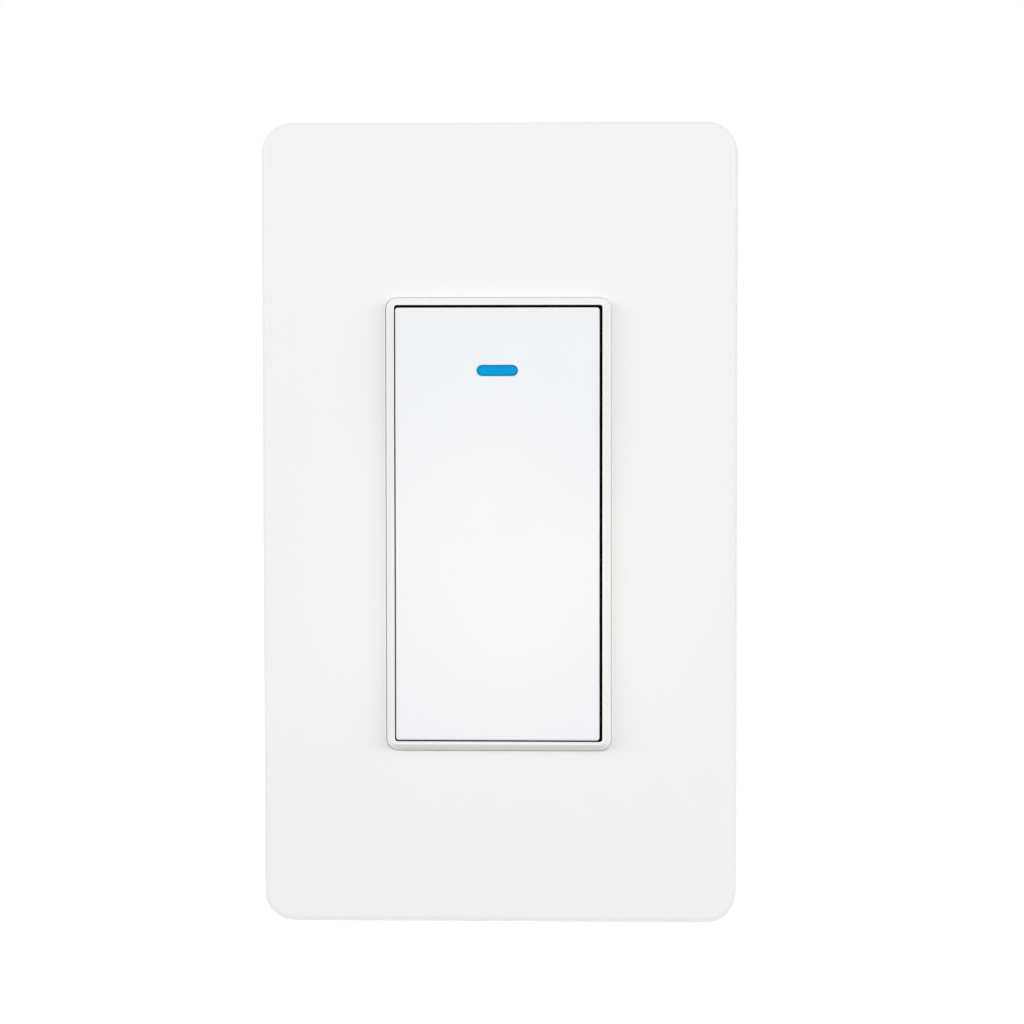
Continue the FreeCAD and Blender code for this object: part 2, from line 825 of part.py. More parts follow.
def earth_screw():
    """A hexagon-head screw with its washer, driven in from the side."""
    corners = [math.pi / 3 * i for i in range(6)]
    across = earth_head_r - earth_washer_rim
    hexagon = [V(across * math.cos(a), -earth_head_h, across * math.sin(a)) for a in corners]
    head = prism(hexagon, V(0, earth_head_h - earth_washer_t / 2, 0))
    washer = rod(earth_head_r, -earth_washer_t, 0)
    shank = rod(earth_screw_r, -earth_washer_t / 2, earth_screw_length)
    shank = shank.makeChamfer(earth_screw_r / 3, edges_in_plane(shank, earth_screw_length))
    slot_y = earth_slot_depth - earth_head_h
    slot = block(-earth_head_r, earth_head_r, -earth_head_h - past, slot_y, -recess_w / 2, recess_w / 2)
    one = joined([head, washer, shank]).cut(slot).rotated(ORIGIN, UP, -quarter_turn)
    return moved(one, -strap_end_w / 2, earth_y, earth_z)


# Rear housing
def terminal_places():
    """Heights and sides of the four terminals."""
    return [(side, up * terminal_up) for side in (-1, 1) for up in (-1, 1)]


def on_side(shape, side):
    """A shape made for the right side, on the side asked for."""
    return shape if side > 0 else to_left(shape)


def pocket_cutters():
    """Everything cut for one terminal on the right side, at height 0."""
    edge_x = body_w / 2
    pocket = block(pocket_floor_x, edge_x + past, pocket_front, pocket_rear_y, -pocket_h / 2, pocket_h / 2)
    tip_x = pocket_floor_x - terminal_tip - slot_fit
    tip = cross_rod(terminal_screw_r + slot_fit, tip_x, edge_x, pocket_mid_y, 0)
    tongue_front = power_board_y - tongue_t - slot_fit
    half = tongue_w / 2 + slot_fit
    wall_x = pocket_floor_x - pocket_floor
    slot = block(wall_x - past, pocket_floor_x + touch, tongue_front, power_board_y + slot_fit, -half, half)
    wire_x = pocket_floor_x + plate_t + wire_gap / 2
    holes = []
    for side in (-1, 1):
        holes.append(rod(wire_hole_r, pocket_rear_y - touch, body_depth, wire_x, side * wire_hole_across))
    return [pocket, tip, slot] + holes


def rear_housing():
    shell = slab(body_w, body_h, body_corner_r, wall_y, body_depth)
    shell = shell.makeFillet(body_edge_r, edges_in_plane(shell, body_depth))
    inner_r = max(body_corner_r - body_wall, 0.0)
    inner_w = body_w - 2 * body_wall
    inner_h = body_h - 2 * body_wall
    floor = body_depth - body_wall
    hollow = slab(inner_w, inner_h, inner_r, wall_y, floor)
    kept = []
    cutters = []
    for x, z in both_ways((post_across, post_up)):
        kept.append(rod(housing_post_r, wall_y, floor, x, z))
        cutters.append(rod(housing_screw_r + housing_screw_gap, wall_y, body_depth, x, z))
        sunk_y = body_depth - housing_head_h - housing_head_sunk
        cutters.append(rod(housing_head_r + head_gap, sunk_y, body_depth, x, z))
    for x, z in both_ways((inner_w / 2 - rail_t / 2, rail_up)):
        kept.append(slab(rail_t, rail_w, 0.0, control_rear_y, floor, x, z))
    for x, z in both_ways((pad_across, pad_up)):
        kept.append(rod(pad_r, power_rear_y, floor, x, z))
    pocket_wall_x = pocket_floor_x - pocket_floor
    half = pocket_h / 2 + pocket_wall
    for side, z in terminal_places():
        boxed = block(pocket_wall_x, inner_w / 2, pocket_front - pocket_wall, floor, z - half, z + half)
        kept.append(on_side(boxed, side))
        cutters += [on_side(moved(c, 0, 0, z), side) for c in pocket_cutters()]
    return without(shell.cut(hollow.cut(kept)), cutters)


def housing_screws():
    tip_y = floor_y - post_h / 2 + 2 * thread_fit
    seat_y = body_depth - housing_head_sunk - housing_head_h
    one = screw(housing_head_r, housing_head_h, housing_screw_r, seat_y - tip_y)
    one = one.rotated(ORIGIN, UP, 2 * quarter_turn)
    return [moved(one, x, seat_y, z) for x, z in both_ways((post_across, post_up))]


# Terminals
def terminal_plate():
    """Brass plate on the pocket's floor, with a tongue that runs in to the power board."""
    x0 = pocket_floor_x
    y0 = pocket_front + plate_edge_gap
    y1 = pocket_rear_y - plate_edge_gap
    half = pocket_h / 2 - plate_edge_gap
    sheet = block(x0, x0 + plate_t, y0, y1, -half, half)
    tip_x = x0 - pocket_floor - tongue_in
    tongue_front = power_board_y - tongue_t
    tongue = block(tip_x, x0 + touch, tongue_front, power_board_y, -tongue_w / 2, tongue_w / 2)
    hole = cross_rod(terminal_screw_r + thread_fit, x0 - past, x0 + plate_t + past, pocket_mid_y, 0)
    return joined([sheet, tongue]).cut(hole)


def wire_clamp():
    """Clamp plate under the screw's head, with a lip along its two ends."""
    x0 = pocket_floor_x + plate_t + wire_gap
    y0 = pocket_front + plate_edge_gap
    y1 = pocket_rear_y - plate_edge_gap
    half = pocket_h / 2 - plate_edge_gap
    sheet = block(x0, x0 + clamp_t, y0, y1, -half, half)
    lips = []
    for side in (-1, 1):
        lips.append(block(x0 - clamp_lip, x0 + touch, y0, y1, side * half, side * (half - clamp_lip_t)))
    hole = cross_rod(terminal_screw_r + slot_fit, x0 - past, x0 + clamp_t + past, pocket_mid_y, 0)
    return joined([sheet] + lips).cut(hole)


def terminal_screw():
    x = pocket_floor_x + plate_t + wire_gap + clamp_t
    one = screw(terminal_head_r, terminal_head_h, terminal_screw_r, x - pocket_floor_x + terminal_tip)
    return moved(one.rotated(ORIGIN, UP, quarter_turn), x, pocket_mid_y, 0)


def four_terminals(piece):
    """The same piece at all four terminals."""
    return [on_side(moved(piece, 0, 0, z), side) for side, z in terminal_places()]


# Boards
def pin_places():
    """Where the pins between the boards stand."""
    first = header_z - header_pitch * (pin_count - 1) / 2
    return [(header_x, first + header_pitch * i) for i in range(pin_count)]


def board(w, h, y):
    sheet = slab(w, h, board_corner_r, y, y + board_t)
    return sheet.cut([rod(board_hole_r, y, y + board_t, x, z) for x, z in pin_places()])


def header_block():
    length = header_pitch * pin_count
    body = slab(header_w, length, 0.0, power_board_y - header_t, power_board_y, header_x, header_z)
    holes = [rod(board_hole_r, power_board_y - header_t, power_board_y, x, z) for x, z in pin_places()]
    return body.cut(holes)


def header_pin_set():
    half = pin_side / 2
    y0 = control_board_y - pin_past
    y1 = power_rear_y + pin_past
    return [block(x - half, x + half, y0, y1, z - half, z + half) for x, z in pin_places()]


# Tactile switch
def tact_switch_body():
    cover_y = tact_front_y + tact_cover_t
    cover_w = tact_w - 2 * tact_cover_in
    base = slab(tact_w, tact_w, tact_corner_r, cover_y, control_board_y, key_x, tact_z)
    cover = slab(cover_w, cover_w, tact_corner_r, tact_front_y, cover_y + touch, key_x, tact_z)
    rivet_at = tact_w / 2 - tact_rivet_in
    rivet_y = tact_front_y - tact_rivet_h
    rivets = []
    for x, z in both_ways((rivet_at, rivet_at)):
        rivets.append(rod(tact_rivet_r, rivet_y, tact_front_y + touch, key_x + x, tact_z + z))
    deep = cover_y + tact_travel + 2 * tact_spare
    bore = rod(tact_stem_r + tact_fit, tact_front_y - past, deep, key_x, tact_z)
    return joined([base, cover] + rivets).cut(bore)


def tact_switch_plunger():
    rear_y = tact_front_y + tact_cover_t + tact_spare
    stem = rod(tact_stem_r, stem_front_y, rear_y, key_x, tact_z)
    return stem.makeFillet(tact_stem_edge_r, edges_in_plane(stem, stem_front_y))


# Small parts on the control board
def indicator_led():
    front = control_board_y - led_t
    base = slab(led_w, led_h, small_r, front, control_board_y, key_x, bar_z)
    lens = Part.makeSphere(led_lens_r, V(key_x, front - led_lens_out + led_lens_r, bar_z))
    return joined([base, lens])


def wifi_module():
    return slab(module_w, module_h, small_r, control_board_y - module_t, control_board_y, key_x, module_z)


def wifi_shield_can():
    front = control_board_y - module_t - can_t
    can = slab(can_w, can_h, 2 * small_r, front, front + can_t, key_x - can_shift, module_z)
    return can.makeFillet(small_r, edges_in_plane(can, front))


def control_chip():
    """A flat chip with a row of leads on two sides."""
    front = control_board_y - chip_t
    body = slab(chip_w, chip_w, small_r, front, control_board_y - chip_lift, key_x, chip_z)
    leads = []
    first = chip_z - chip_lead_pitch * (chip_lead_count - 1) / 2
    for side in (-1, 1):
        for i in range(chip_lead_count):
            z = first + chip_lead_pitch * i
            inner = key_x + side * (chip_w / 2 - chip_lift)
            outer = key_x + side * (chip_w / 2 + chip_lead)
            lead_y = control_board_y - chip_lead_t
            half = chip_lead_w / 2
            leads.append(block(inner, outer, lead_y, control_board_y, z - half, z + half))
    return joined([body] + leads)


# Small parts on the power board
def relay():
    front = power_board_y - relay_t
    case = slab(relay_w, relay_h, 2 * case_r, front, power_board_y, relay_x, relay_z)
    return case.makeFillet(case_r, edges_in_plane(case, front))


def transformer():
    """A ferrite core round a wound bobbin."""
    front = power_board_y - core_t
    frame = slab(core_w, core_band, small_r, front, power_board_y - bobbin_t, core_x, core_z)
    coil = Part.makeCylinder(coil_r, core_h, V(core_x, front + core_t / 2, core_z - core_h / 2), UP)
    half_w = core_w / 2 - bobbin_inset
    flanges = []
    for side in (-1, 1):
        z = core_z + side * core_h / 2
        inner_z = z - side * bobbin_t
        front_y = front + bobbin_inset
        flanges.append(block(core_x - half_w, core_x + half_w, front_y, power_board_y, z, inner_z))
    return joined([frame, coil] + flanges)


def smoothing_capacitors():
    cans = []
    front = power_board_y - capacitor_t
    bead_rear = power_board_y - capacitor_bead_up
    bead_front = bead_rear - capacitor_bead_w
    for z in capacitor_zs:
        can = rod(capacitor_r, front, power_board_y, capacitor_x, z)
        can = can.makeFillet(case_r, edges_in_plane(can, front))
        ring = rod(capacitor_r + past, bead_front, bead_rear, capacitor_x, z)
        waist = rod(capacitor_r - capacitor_bead_d, bead_front, bead_rear, capacitor_x, z)
        cans.append(can.cut(ring.cut(waist)))
    return cans


def film_capacitor():
    front = power_board_y - film_t
    case = slab(film_w, film_h, case_r, front, power_board_y, film_x, film_z)
    return case.makeFillet(small_r, edges_in_plane(case, front))


def fuse():
    y = power_board_y - fuse_r - fuse_lift
    glass = cross_rod(fuse_glass_r, fuse_x - fuse_l / 2, fuse_x + fuse_l / 2, y, fuse_z)
    caps = []
    for side in (-1, 1):
        end = fuse_x + side * fuse_l / 2
        start = min(end, end - side * fuse_cap)
        caps.append(cross_rod(fuse_r, start, start + fuse_cap, y, fuse_z))
        leg_x = start + fuse_cap / 2
        caps.append(slab(lead_side, lead_side, 0.0, y, power_board_y, leg_x, fuse_z))
    return joined([glass] + caps)


def varistor():
    """A disc that stands on two legs."""
    y = power_board_y - varistor_r - varistor_lift
    half = varistor_t / 2
    disc = cross_rod(varistor_r, varistor_x - half, varistor_x + half, y, varistor_z)
    rims = [e for e in disc.Edges if abs(abs(e.CenterOfMass.x - varistor_x) - half) < touch]
    disc = disc.makeFillet(varistor_edge_r, rims)
    legs = []
    for side in (-1, 1):
        z = varistor_z + side * varistor_leg_across
        legs.append(slab(lead_side, lead_side, 0.0, y, power_board_y, varistor_x, z))
    return joined([disc] + legs)


def save(name, shapes):
    """Write one node, as one solid or as a group of separate ones."""
    shape = Part.makeCompound(shapes) if isinstance(shapes, list) else shapes
    shape.exportStep(f"parts/{name}.step")


def main():
    os.makedirs("parts", exist_ok=True)
    save("wall_plate", wall_plate())
    save("sub_plate", sub_plate())
    save("sub_plate_screws", sub_plate_screws())
    save("bezel_frame", bezel_frame())
    save("key_carrier", key_carrier())
    save("key", key())
    save("light_guide", light_guide())
    save("mounting_strap", mounting_strap())
    save("box_screws", box_screws())
    save("earth_screw", earth_screw())
    save("rear_housing", rear_housing())
    save("housing_screws", housing_screws())
    save("terminal_plates", four_terminals(terminal_plate()))
    save("wire_clamps", four_terminals(wire_clamp()))
    save("terminal_screws", four_terminals(terminal_screw()))
    save("control_board", board(control_board_w, control_board_h, control_board_y))
    save("power_board", board(power_board_w, power_board_h, power_board_y))
    save("header_block", header_block())
    save("header_pins", header_pin_set())
    save("tact_switch_body", tact_switch_body())
    save("tact_switch_plunger", tact_switch_plunger())
    save("indicator_led", indicator_led())
    save("wifi_module", wifi_module())
    save("wifi_shield_can", wifi_shield_can())
    save("control_chip", control_chip())
    save("relay", relay())
    save("transformer", transformer())
    save("smoothing_capacitors", smoothing_capacitors())
    save("film_capacitor", film_capacitor())
    save("fuse", fuse())
    save("varistor", varistor())


main()
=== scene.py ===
import json
import math
import bpy
import bmesh
from mathutils import Matrix, Vector


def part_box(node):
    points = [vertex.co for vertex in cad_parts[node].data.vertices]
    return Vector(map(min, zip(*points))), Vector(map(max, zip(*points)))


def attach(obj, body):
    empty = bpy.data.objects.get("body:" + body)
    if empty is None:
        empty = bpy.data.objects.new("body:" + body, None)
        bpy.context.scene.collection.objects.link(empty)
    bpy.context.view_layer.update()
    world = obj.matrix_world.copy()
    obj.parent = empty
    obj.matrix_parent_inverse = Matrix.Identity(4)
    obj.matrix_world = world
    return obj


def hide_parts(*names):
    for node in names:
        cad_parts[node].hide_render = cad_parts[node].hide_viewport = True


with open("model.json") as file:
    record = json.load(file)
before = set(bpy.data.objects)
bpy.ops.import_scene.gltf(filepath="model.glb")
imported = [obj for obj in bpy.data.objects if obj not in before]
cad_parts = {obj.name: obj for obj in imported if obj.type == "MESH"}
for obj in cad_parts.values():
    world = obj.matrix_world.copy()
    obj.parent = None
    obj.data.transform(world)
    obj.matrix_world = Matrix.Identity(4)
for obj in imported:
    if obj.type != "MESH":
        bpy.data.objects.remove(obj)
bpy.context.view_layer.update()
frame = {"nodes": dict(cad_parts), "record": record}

SLOT_OF = {part["node"]: part["material_slot"] for part in frame["record"]["subparts"]}
MM = 0.001

# Camera, in millimetres and radians, the picture's width in pixels, and the clip distances in metres
CAMERA_AT = (23.025, -500.0, 26.673)
CAMERA_YAW = 0.04269
CAMERA_PITCH = 0.05018
CAMERA_ROLL = -0.00096
FOCAL_PX = 3376.0
PICTURE_PX = 1024
SENSOR_MM = 36.0
NEAREST = 0.01
FARTHEST = 50.0

# Floor, in metres, and the sky's level as a light; the camera sees both as white
FLOOR_Z = -0.24
FLOOR_SIZE = 8.0
FLOOR_COLOUR = (0.397, 0.394, 0.383)
FLOOR_ROUGHNESS = 0.8
FLOOR_LIFT = 0.7
WORLD_LEVEL = 0.663

# Soft lamps, in metres and watts: the place, the width and height, and the power of each
SOFT_LAMPS = (
    ("key_light", (1.10, -0.75, 0.24), (1.0, 0.28), 6.5),
    ("fill_light", (-1.10, -0.75, 0.24), (1.0, 0.28), 6.3),
    ("front_light", (0.05, -1.30, 0.10), (0.5, 0.3), 1.4),
    ("under_light", (0.0, 0.03, -0.22), (0.4, 0.04), 0.21),
)
LAMP_TARGET = (0.0, 0.0, 0.0)

# Spot lamp that gives the key its soft pale patch, in metres and watts
GLOW_FROM = 0.9
GLOW_Z = -0.0095
GLOW_RADIUS = 0.031
GLOW_COLOUR = (1.0, 0.91, 0.79)
GLOW_POWER = 1.9
GLOW_SIZE = 0.01

# The lit bar of the light guide and the rim of painted shade along its edge, in millimetres
BAR_W = 6.0
BAR_H = 1.6
BAR_SHADE_RIM = 0.36

# Finishes: noises by their scale per metre, and bumps by their depth in metres and their strength
NOISE_LOW = 0.3
NOISE_HIGH = 0.7
PATCH_SCALE = 60.0
WAVE_SCALE = 220.0
WAVE_BUMP = (6e-6, 0.25)
GRAIN_STRENGTH = 0.5
CLOUD_SCALE = 130.0
PIT_SCALE = 3200.0
PIT_BUMP = (3e-6, 0.3)
STREAK_BUMP = (4e-6, 0.35)
TRACK_SCALE = 260.0
TRACK_GAP = 0.012
TRACK_BLUR = 0.3
TRACK_BUMP = (1.5e-5, 0.5)
TRACK_SHADE = 0.9
WEAVE_SCALE = 1400.0
WEAVE_BUMP = (5e-6, 0.3)
LACQUER_ROUGH = (0.3, 0.42)
GUIDE_CLOUD_SCALE = 700.0
GUIDE_CLOUD = 0.03
GUIDE_UNLIT = (0.1, 0.12)

# Screw meshes: sides of a ring, steps of a dome, and the angle from which an edge stays sharp
THREAD_SIDES = 48
DOME_STEPS = 10
SHARP_EDGE = math.radians(35)

# Threads, in millimetres or as shares of the pitch, with the ridge's profile as rows and heights
THREAD_PITCH = 25.4 / 32
THREAD_DEPTH = 0.48
THREAD_RUN_IN = 0.75
THREAD_ROWS = (0.0, 0.25, 0.5625, 0.6875)
THREAD_HEIGHTS = (0.0, 0.0, 1.0, 1.0)
THREAD_AFTER = 0.3
POINT_L = 0.6

# Driver recesses, in millimetres or as shares of the head's radius
RECESS_W = 1.0
RECESS_SHARE = 0.6
RECESS_DEPTH = 0.4
RECESS_TAPER = 0.86
CUT_PAST = 1.0

# Heads: crown and eased edges, as shares of the sizes that they belong to
HEAD_CROWN = 0.5
PAN_EDGE = 0.04
FLAT_EDGE = 0.03
HEX_EASE = 0.1
HEX_FACE = 0.97
WASHER_EDGE = 0.2
WASHER_FALL = 0.2

# The four kinds of screw, in millimetres
BOX_SCREW_R = 1.75
BOX_NECK_R = 1.5
BOX_NECK_L = 1.2
BOX_HEAD_H = 2.2
PLATE_SCREW_R = 1.7
PLATE_HEAD_H = 1.5
EARTH_SCREW_R = 1.9
EARTH_HEAD_H = 2.2
EARTH_WASHER_T = 0.6
EARTH_WASHER_RIM = 0.15
EARTH_SLOT_DEPTH = 0.9
TERMINAL_SCREW_R = 2.05
TERMINAL_SCREW_L = 5.7
TERMINAL_HEAD_H = 1.9


# Node helpers
def new_material(name):
    """A new material, its node tree and its shader."""
    material = bpy.data.materials.new(name)
    material.use_nodes = True
    tree = material.node_tree
    return material, tree, tree.nodes["Principled BSDF"]


def new_node(tree, kind, inputs, **settings):
    """A node with its settings; each input is a plain value or another node's output."""
    node = tree.nodes.new(kind)
    for name, value in settings.items():
        setattr(node, name, value)
    for name, source in inputs.items():
        if isinstance(source, bpy.types.NodeSocket):
            tree.links.new(source, node.inputs[name])
        else:
            node.inputs[name].default_value = source
    return node


def math_node(tree, operation, *sources):
    """The result of a math node."""
    return new_node(tree, "ShaderNodeMath", dict(enumerate(sources)), operation=operation).outputs[0]


def opaque(colour):
    return (*colour, 1.0)


def shade(colour, factor):
    return tuple(min(1.0, c * factor) for c in colour)


def object_place(tree):
    """The point's place in the object's own coordinates."""
    return tree.nodes.new("ShaderNodeTexCoord").outputs["Object"]


def noise(tree, scale, detail=2.0, roughness=0.5, stretch=None):
    """Noise over the object's own coordinates, stretched along an axis where asked."""
    source = object_place(tree)
    if stretch:
        source = new_node(tree, "ShaderNodeMapping", {"Vector": source, "Scale": stretch}).outputs["Vector"]
    inputs = {"Vector": source, "Scale": scale, "Detail": detail, "Roughness": roughness}
    return new_node(tree, "ShaderNodeTexNoise", inputs).outputs["Fac"]


def mapped(tree, source, low, high):
    """A value between two ends, spread over the useful middle of a noise."""
    inputs = {"Value": source, "From Min": NOISE_LOW, "From Max": NOISE_HIGH, "To Min": low, "To Max": high}
    return new_node(tree, "ShaderNodeMapRange", inputs).outputs["Result"]


def mixed(tree, share, first, second):
    """A colour between two, by a share from 0 to 1."""
    inputs = {"A": first, "B": second, "Factor": share}
    return new_node(tree, "ShaderNodeMix", inputs, data_type="RGBA").outputs["Result"]


def bumps(tree, shader, layers):
    """Stacked bumps: each layer is a height source with its depth in metres and its strength."""
    inputs = {}
    for source, (depth, strength) in layers:
        inputs |= {"Height": source, "Distance": depth, "Strength": strength}
        inputs["Normal"] = new_node(tree, "ShaderNodeBump", inputs).outputs["Normal"]
    tree.links.new(inputs["Normal"], shader.inputs["Normal"])


# Materials
def plastic(name, colour, rough=0.35, grain=2500.0, depth=4e-6, spread=0.05, tint=0.012, specular=0.5):
    """Moulded plastic: a fine grain, patches of slightly different gloss and a trace of uneven colour."""
    material, tree, shader = new_material(name)
    shader.inputs["Specular IOR Level"].default_value = specular
    patches = noise(tree, PATCH_SCALE, detail=3.0)
    fine = noise(tree, grain)
    waves = noise(tree, WAVE_SCALE, detail=1.0)
    tree.links.new(mapped(tree, patches, rough - spread, rough + spread), shader.inputs["Roughness"])
    low, high = opaque(shade(colour, 1.0 - tint)), opaque(shade(colour, 1.0 + tint))
    tree.links.new(mixed(tree, mapped(tree, patches, 0.0, 1.0), low, high), shader.inputs["Base Color"])
    bumps(tree, shader, [(waves, WAVE_BUMP), (fine, (depth, GRAIN_STRENGTH))])
    return material


def metal(name, colour, rough=0.32, stretch=(1.0, 1.0, 12.0), spread=0.1, mottle=0.12, grain=900.0):
    """Plated or rolled metal: streaks along one way, cloudy gloss and small pits."""
    material, tree, shader = new_material(name)
    shader.inputs["Metallic"].default_value = 1.0
    streaks = noise(tree, grain, detail=3.0, roughness=0.6, stretch=stretch)
    clouds = noise(tree, CLOUD_SCALE, detail=4.0)
    pits = noise(tree, PIT_SCALE)
    tree.links.new(mapped(tree, clouds, rough - spread, rough + spread), shader.inputs["Roughness"])
    low, high = opaque(shade(colour, 1.0 - mottle)), opaque(shade(colour, 1.0 + mottle / 2))
    tree.links.new(mixed(tree, mapped(tree, streaks, 0.0, 1.0), low, high), shader.inputs["Base Color"])
    bumps(tree, shader, [(streaks, STREAK_BUMP), (pits, PIT_BUMP)])
    return material


def solder_mask(name, colour, track):
    """A board's lacquer: paler runs where copper tracks lie under it, and the laminate's weave."""
    material, tree, shader = new_material(name)
    shader.inputs["Coat Weight"].default_value = 0.4
    shader.inputs["Coat Roughness"].default_value = 0.15
    upright = {"Vector": object_place(tree), "Rotation": (math.pi / 2, 0.0, 0.0)}
    tracks = new_node(tree, "ShaderNodeTexBrick", {
        "Vector": new_node(tree, "ShaderNodeMapping", upright).outputs["Vector"],
        "Scale": TRACK_SCALE,
        "Mortar Size": TRACK_GAP,
        "Mortar Smooth": TRACK_BLUR,
        "Color1": opaque(colour),
        "Color2": opaque(shade(colour, TRACK_SHADE)),
        "Mortar": opaque(track),
    })
    tree.links.new(tracks.outputs["Color"], shader.inputs["Base Color"])
    weave = noise(tree, WEAVE_SCALE, detail=1.0)
    tree.links.new(mapped(tree, weave, *LACQUER_ROUGH), shader.inputs["Roughness"])
    bumps(tree, shader, [(tracks.outputs["Fac"], TRACK_BUMP), (weave, WEAVE_BUMP)])
    return material


def depth_inside(tree, middle, half_w, half_h):
    """How far a point lies inside an upright face's stadium outline, from 0 at its edge, in metres."""
    place = new_node(tree, "ShaderNodeSeparateXYZ", {"Vector": object_place(tree)}).outputs
    across = math_node(tree, "ABSOLUTE", math_node(tree, "SUBTRACT", place["X"], middle.x))
    past_end = math_node(tree, "MAXIMUM", math_node(tree, "SUBTRACT", across, half_w - half_h), 0.0)
    up = math_node(tree, "SUBTRACT", place["Z"], middle.z)
    squares = [math_node(tree, "MULTIPLY", value, value) for value in (past_end, up)]
    reach = math_node(tree, "SQRT", math_node(tree, "ADD", *squares))
    return math_node(tree, "SUBTRACT", half_h, reach)


def glowing(name, colour, painted_shade_colour, level):
    """The light guide: clear blue plastic lit from behind, with painted shade along the edge of its bar."""
    material, tree, shader = new_material(name)
    shader.inputs["Roughness"].default_value = 0.35
    shader.inputs["Specular IOR Level"].default_value = 0.03
    shader.inputs["Emission Strength"].default_value = level
    low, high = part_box("light_guide")
    inside = depth_inside(tree, (low + high) / 2, BAR_W / 2 * MM, BAR_H / 2 * MM)
    # Painted shade: within the rim's width of the bar's edge, the glow turns to the darker rim colour.
    shade_edge = {"Value": inside, "From Max": BAR_SHADE_RIM * MM}
    share = new_node(tree, "ShaderNodeMapRange", shade_edge, interpolation_type="SMOOTHSTEP").outputs["Result"]
    cloud = mapped(tree, noise(tree, GUIDE_CLOUD_SCALE), 0.0, 1.0)
    core = mixed(tree, cloud, *(opaque(shade(colour, 1 + part)) for part in (-GUIDE_CLOUD, GUIDE_CLOUD)))
    unlit = mixed(tree, cloud, *(opaque(shade(colour, part)) for part in GUIDE_UNLIT))
    tree.links.new(mixed(tree, share, opaque(painted_shade_colour), core), shader.inputs["Emission Color"])
    tree.links.new(unlit, shader.inputs["Base Color"])
    return material


MATERIALS = {
    "plate_white": plastic("plate_white", (0.862, 0.863, 0.868), 0.4, tint=0.004),
    "collar_white": plastic("collar_white", (0.87, 0.864, 0.845), 0.36, tint=0.004),
    "key_white": plastic("key_white", (0.837, 0.846, 0.866), 0.36, tint=0.004),
    # The light guide's third colour is painted shade along the edge of its lit bar.
    "guide_blue": glowing("guide_blue", (0.0, 0.365, 0.755), (0.003, 0.19, 0.35), 0.83),
    "carrier_grey": plastic("carrier_grey", (0.80, 0.80, 0.78), 0.5),
    "tray_black": plastic("tray_black", (0.012, 0.013, 0.018), 0.55, specular=0.06),
    "housing_black": plastic("housing_black", (0.02, 0.02, 0.021), 0.5, grain=1400.0, depth=4e-5),
    "strap_steel": metal("strap_steel", (0.62, 0.63, 0.64)),
    "zinc_screw": metal("zinc_screw", (0.66, 0.66, 0.65), 0.28, stretch=(1.0, 8.0, 1.0)),
    "earth_green": plastic("earth_green", (0.03, 0.30, 0.10), 0.3),
    "brass": metal("brass", (0.78, 0.58, 0.26), 0.3),
    "board_green": solder_mask("board_green", (0.03, 0.17, 0.07), (0.06, 0.26, 0.10)),
    "board_blue": solder_mask("board_blue", (0.02, 0.06, 0.20), (0.04, 0.11, 0.28)),
    "part_black": plastic("part_black", (0.03, 0.03, 0.03), 0.45),
    "plunger_red": plastic("plunger_red", (0.55, 0.06, 0.04), 0.4),
    "led_white": plastic("led_white", (0.85, 0.86, 0.84), 0.2),
    "can_steel": metal("can_steel", (0.70, 0.70, 0.69), 0.3),
    "relay_blue": plastic("relay_blue", (0.02, 0.12, 0.42), 0.25),
    "ferrite": plastic("ferrite", (0.06, 0.06, 0.065), 0.6, grain=1800.0, depth=2e-5),
    "capacitor_sleeve": plastic("capacitor_sleeve", (0.02, 0.025, 0.05), 0.22),
    "film_yellow": plastic("film_yellow", (0.70, 0.42, 0.05), 0.25),
    "fuse_cap": metal("fuse_cap", (0.75, 0.75, 0.76), 0.2),
    "varistor_blue": plastic("varistor_blue", (0.03, 0.16, 0.45), 0.4, grain=1500.0, depth=2e-5),
}


# Screws with their threads
def vertex(mesh, radius, angle, y):
    """A vertex at a distance and an angle round the y axis."""
    return mesh.verts.new((radius * math.cos(angle), y, radius * math.sin(angle)))


def ring_of(mesh, radius, y, hexagonal=False):
    """A ring of vertices round the y axis: a circle, or a hexagon with corners at that radius."""
    sixth = math.pi / 3
    ring = []
    for i in range(THREAD_SIDES):
        angle = 2 * math.pi * i / THREAD_SIDES
        r = radius
        if hexagonal:
            r *= math.cos(sixth / 2) / math.cos(angle % sixth - sixth / 2)
        ring.append(vertex(mesh, r, angle, y))
    return ring


def skin(mesh, rings):
    """Faces from each ring to the next."""
    for one, two in zip(rings, rings[1:]):
        for i in range(THREAD_SIDES):
            j = (i + 1) % THREAD_SIDES
            mesh.faces.new((one[i], one[j], two[j], two[i]))


def ridge_rows(mesh, radius, root, start, end):
    """Rows of vertices on a helical ridge between two places on the y axis, a few to each turn."""
    turns = int((end - start) / THREAD_PITCH) - 1
    lead = (end - start) / THREAD_PITCH - 1 - turns
    rows = []
    for j in range(len(THREAD_ROWS) * turns + 1):
        whole, part = divmod(j, len(THREAD_ROWS))
        row = []
        for i in range(THREAD_SIDES):
            share = i / THREAD_SIDES
            run = whole + share
            fade = max(0.0, min(1.0, run / THREAD_RUN_IN, (turns - run) / THREAD_RUN_IN))
            r = root + (radius - root) * THREAD_HEIGHTS[part] * fade
            y = start + THREAD_PITCH * (lead / 2 + run + THREAD_ROWS[part])
            row.append(vertex(mesh, r, 2 * math.pi * share, y))
        rows.append(row)
    return rows


def skin_ridge(mesh, rows):
    """Faces from each row to the next, and over the seam from one turn to the following one."""
    seam = THREAD_SIDES - 1
    turn = len(THREAD_ROWS)
    for j in range(len(rows) - 1):
        for i in range(seam):
            mesh.faces.new((rows[j][i], rows[j][i + 1], rows[j + 1][i + 1], rows[j + 1][i]))
        if j + 1 + turn < len(rows):
            mesh.faces.new((rows[j][seam], rows[j + turn][0], rows[j + 1 + turn][0], rows[j + 1][seam]))


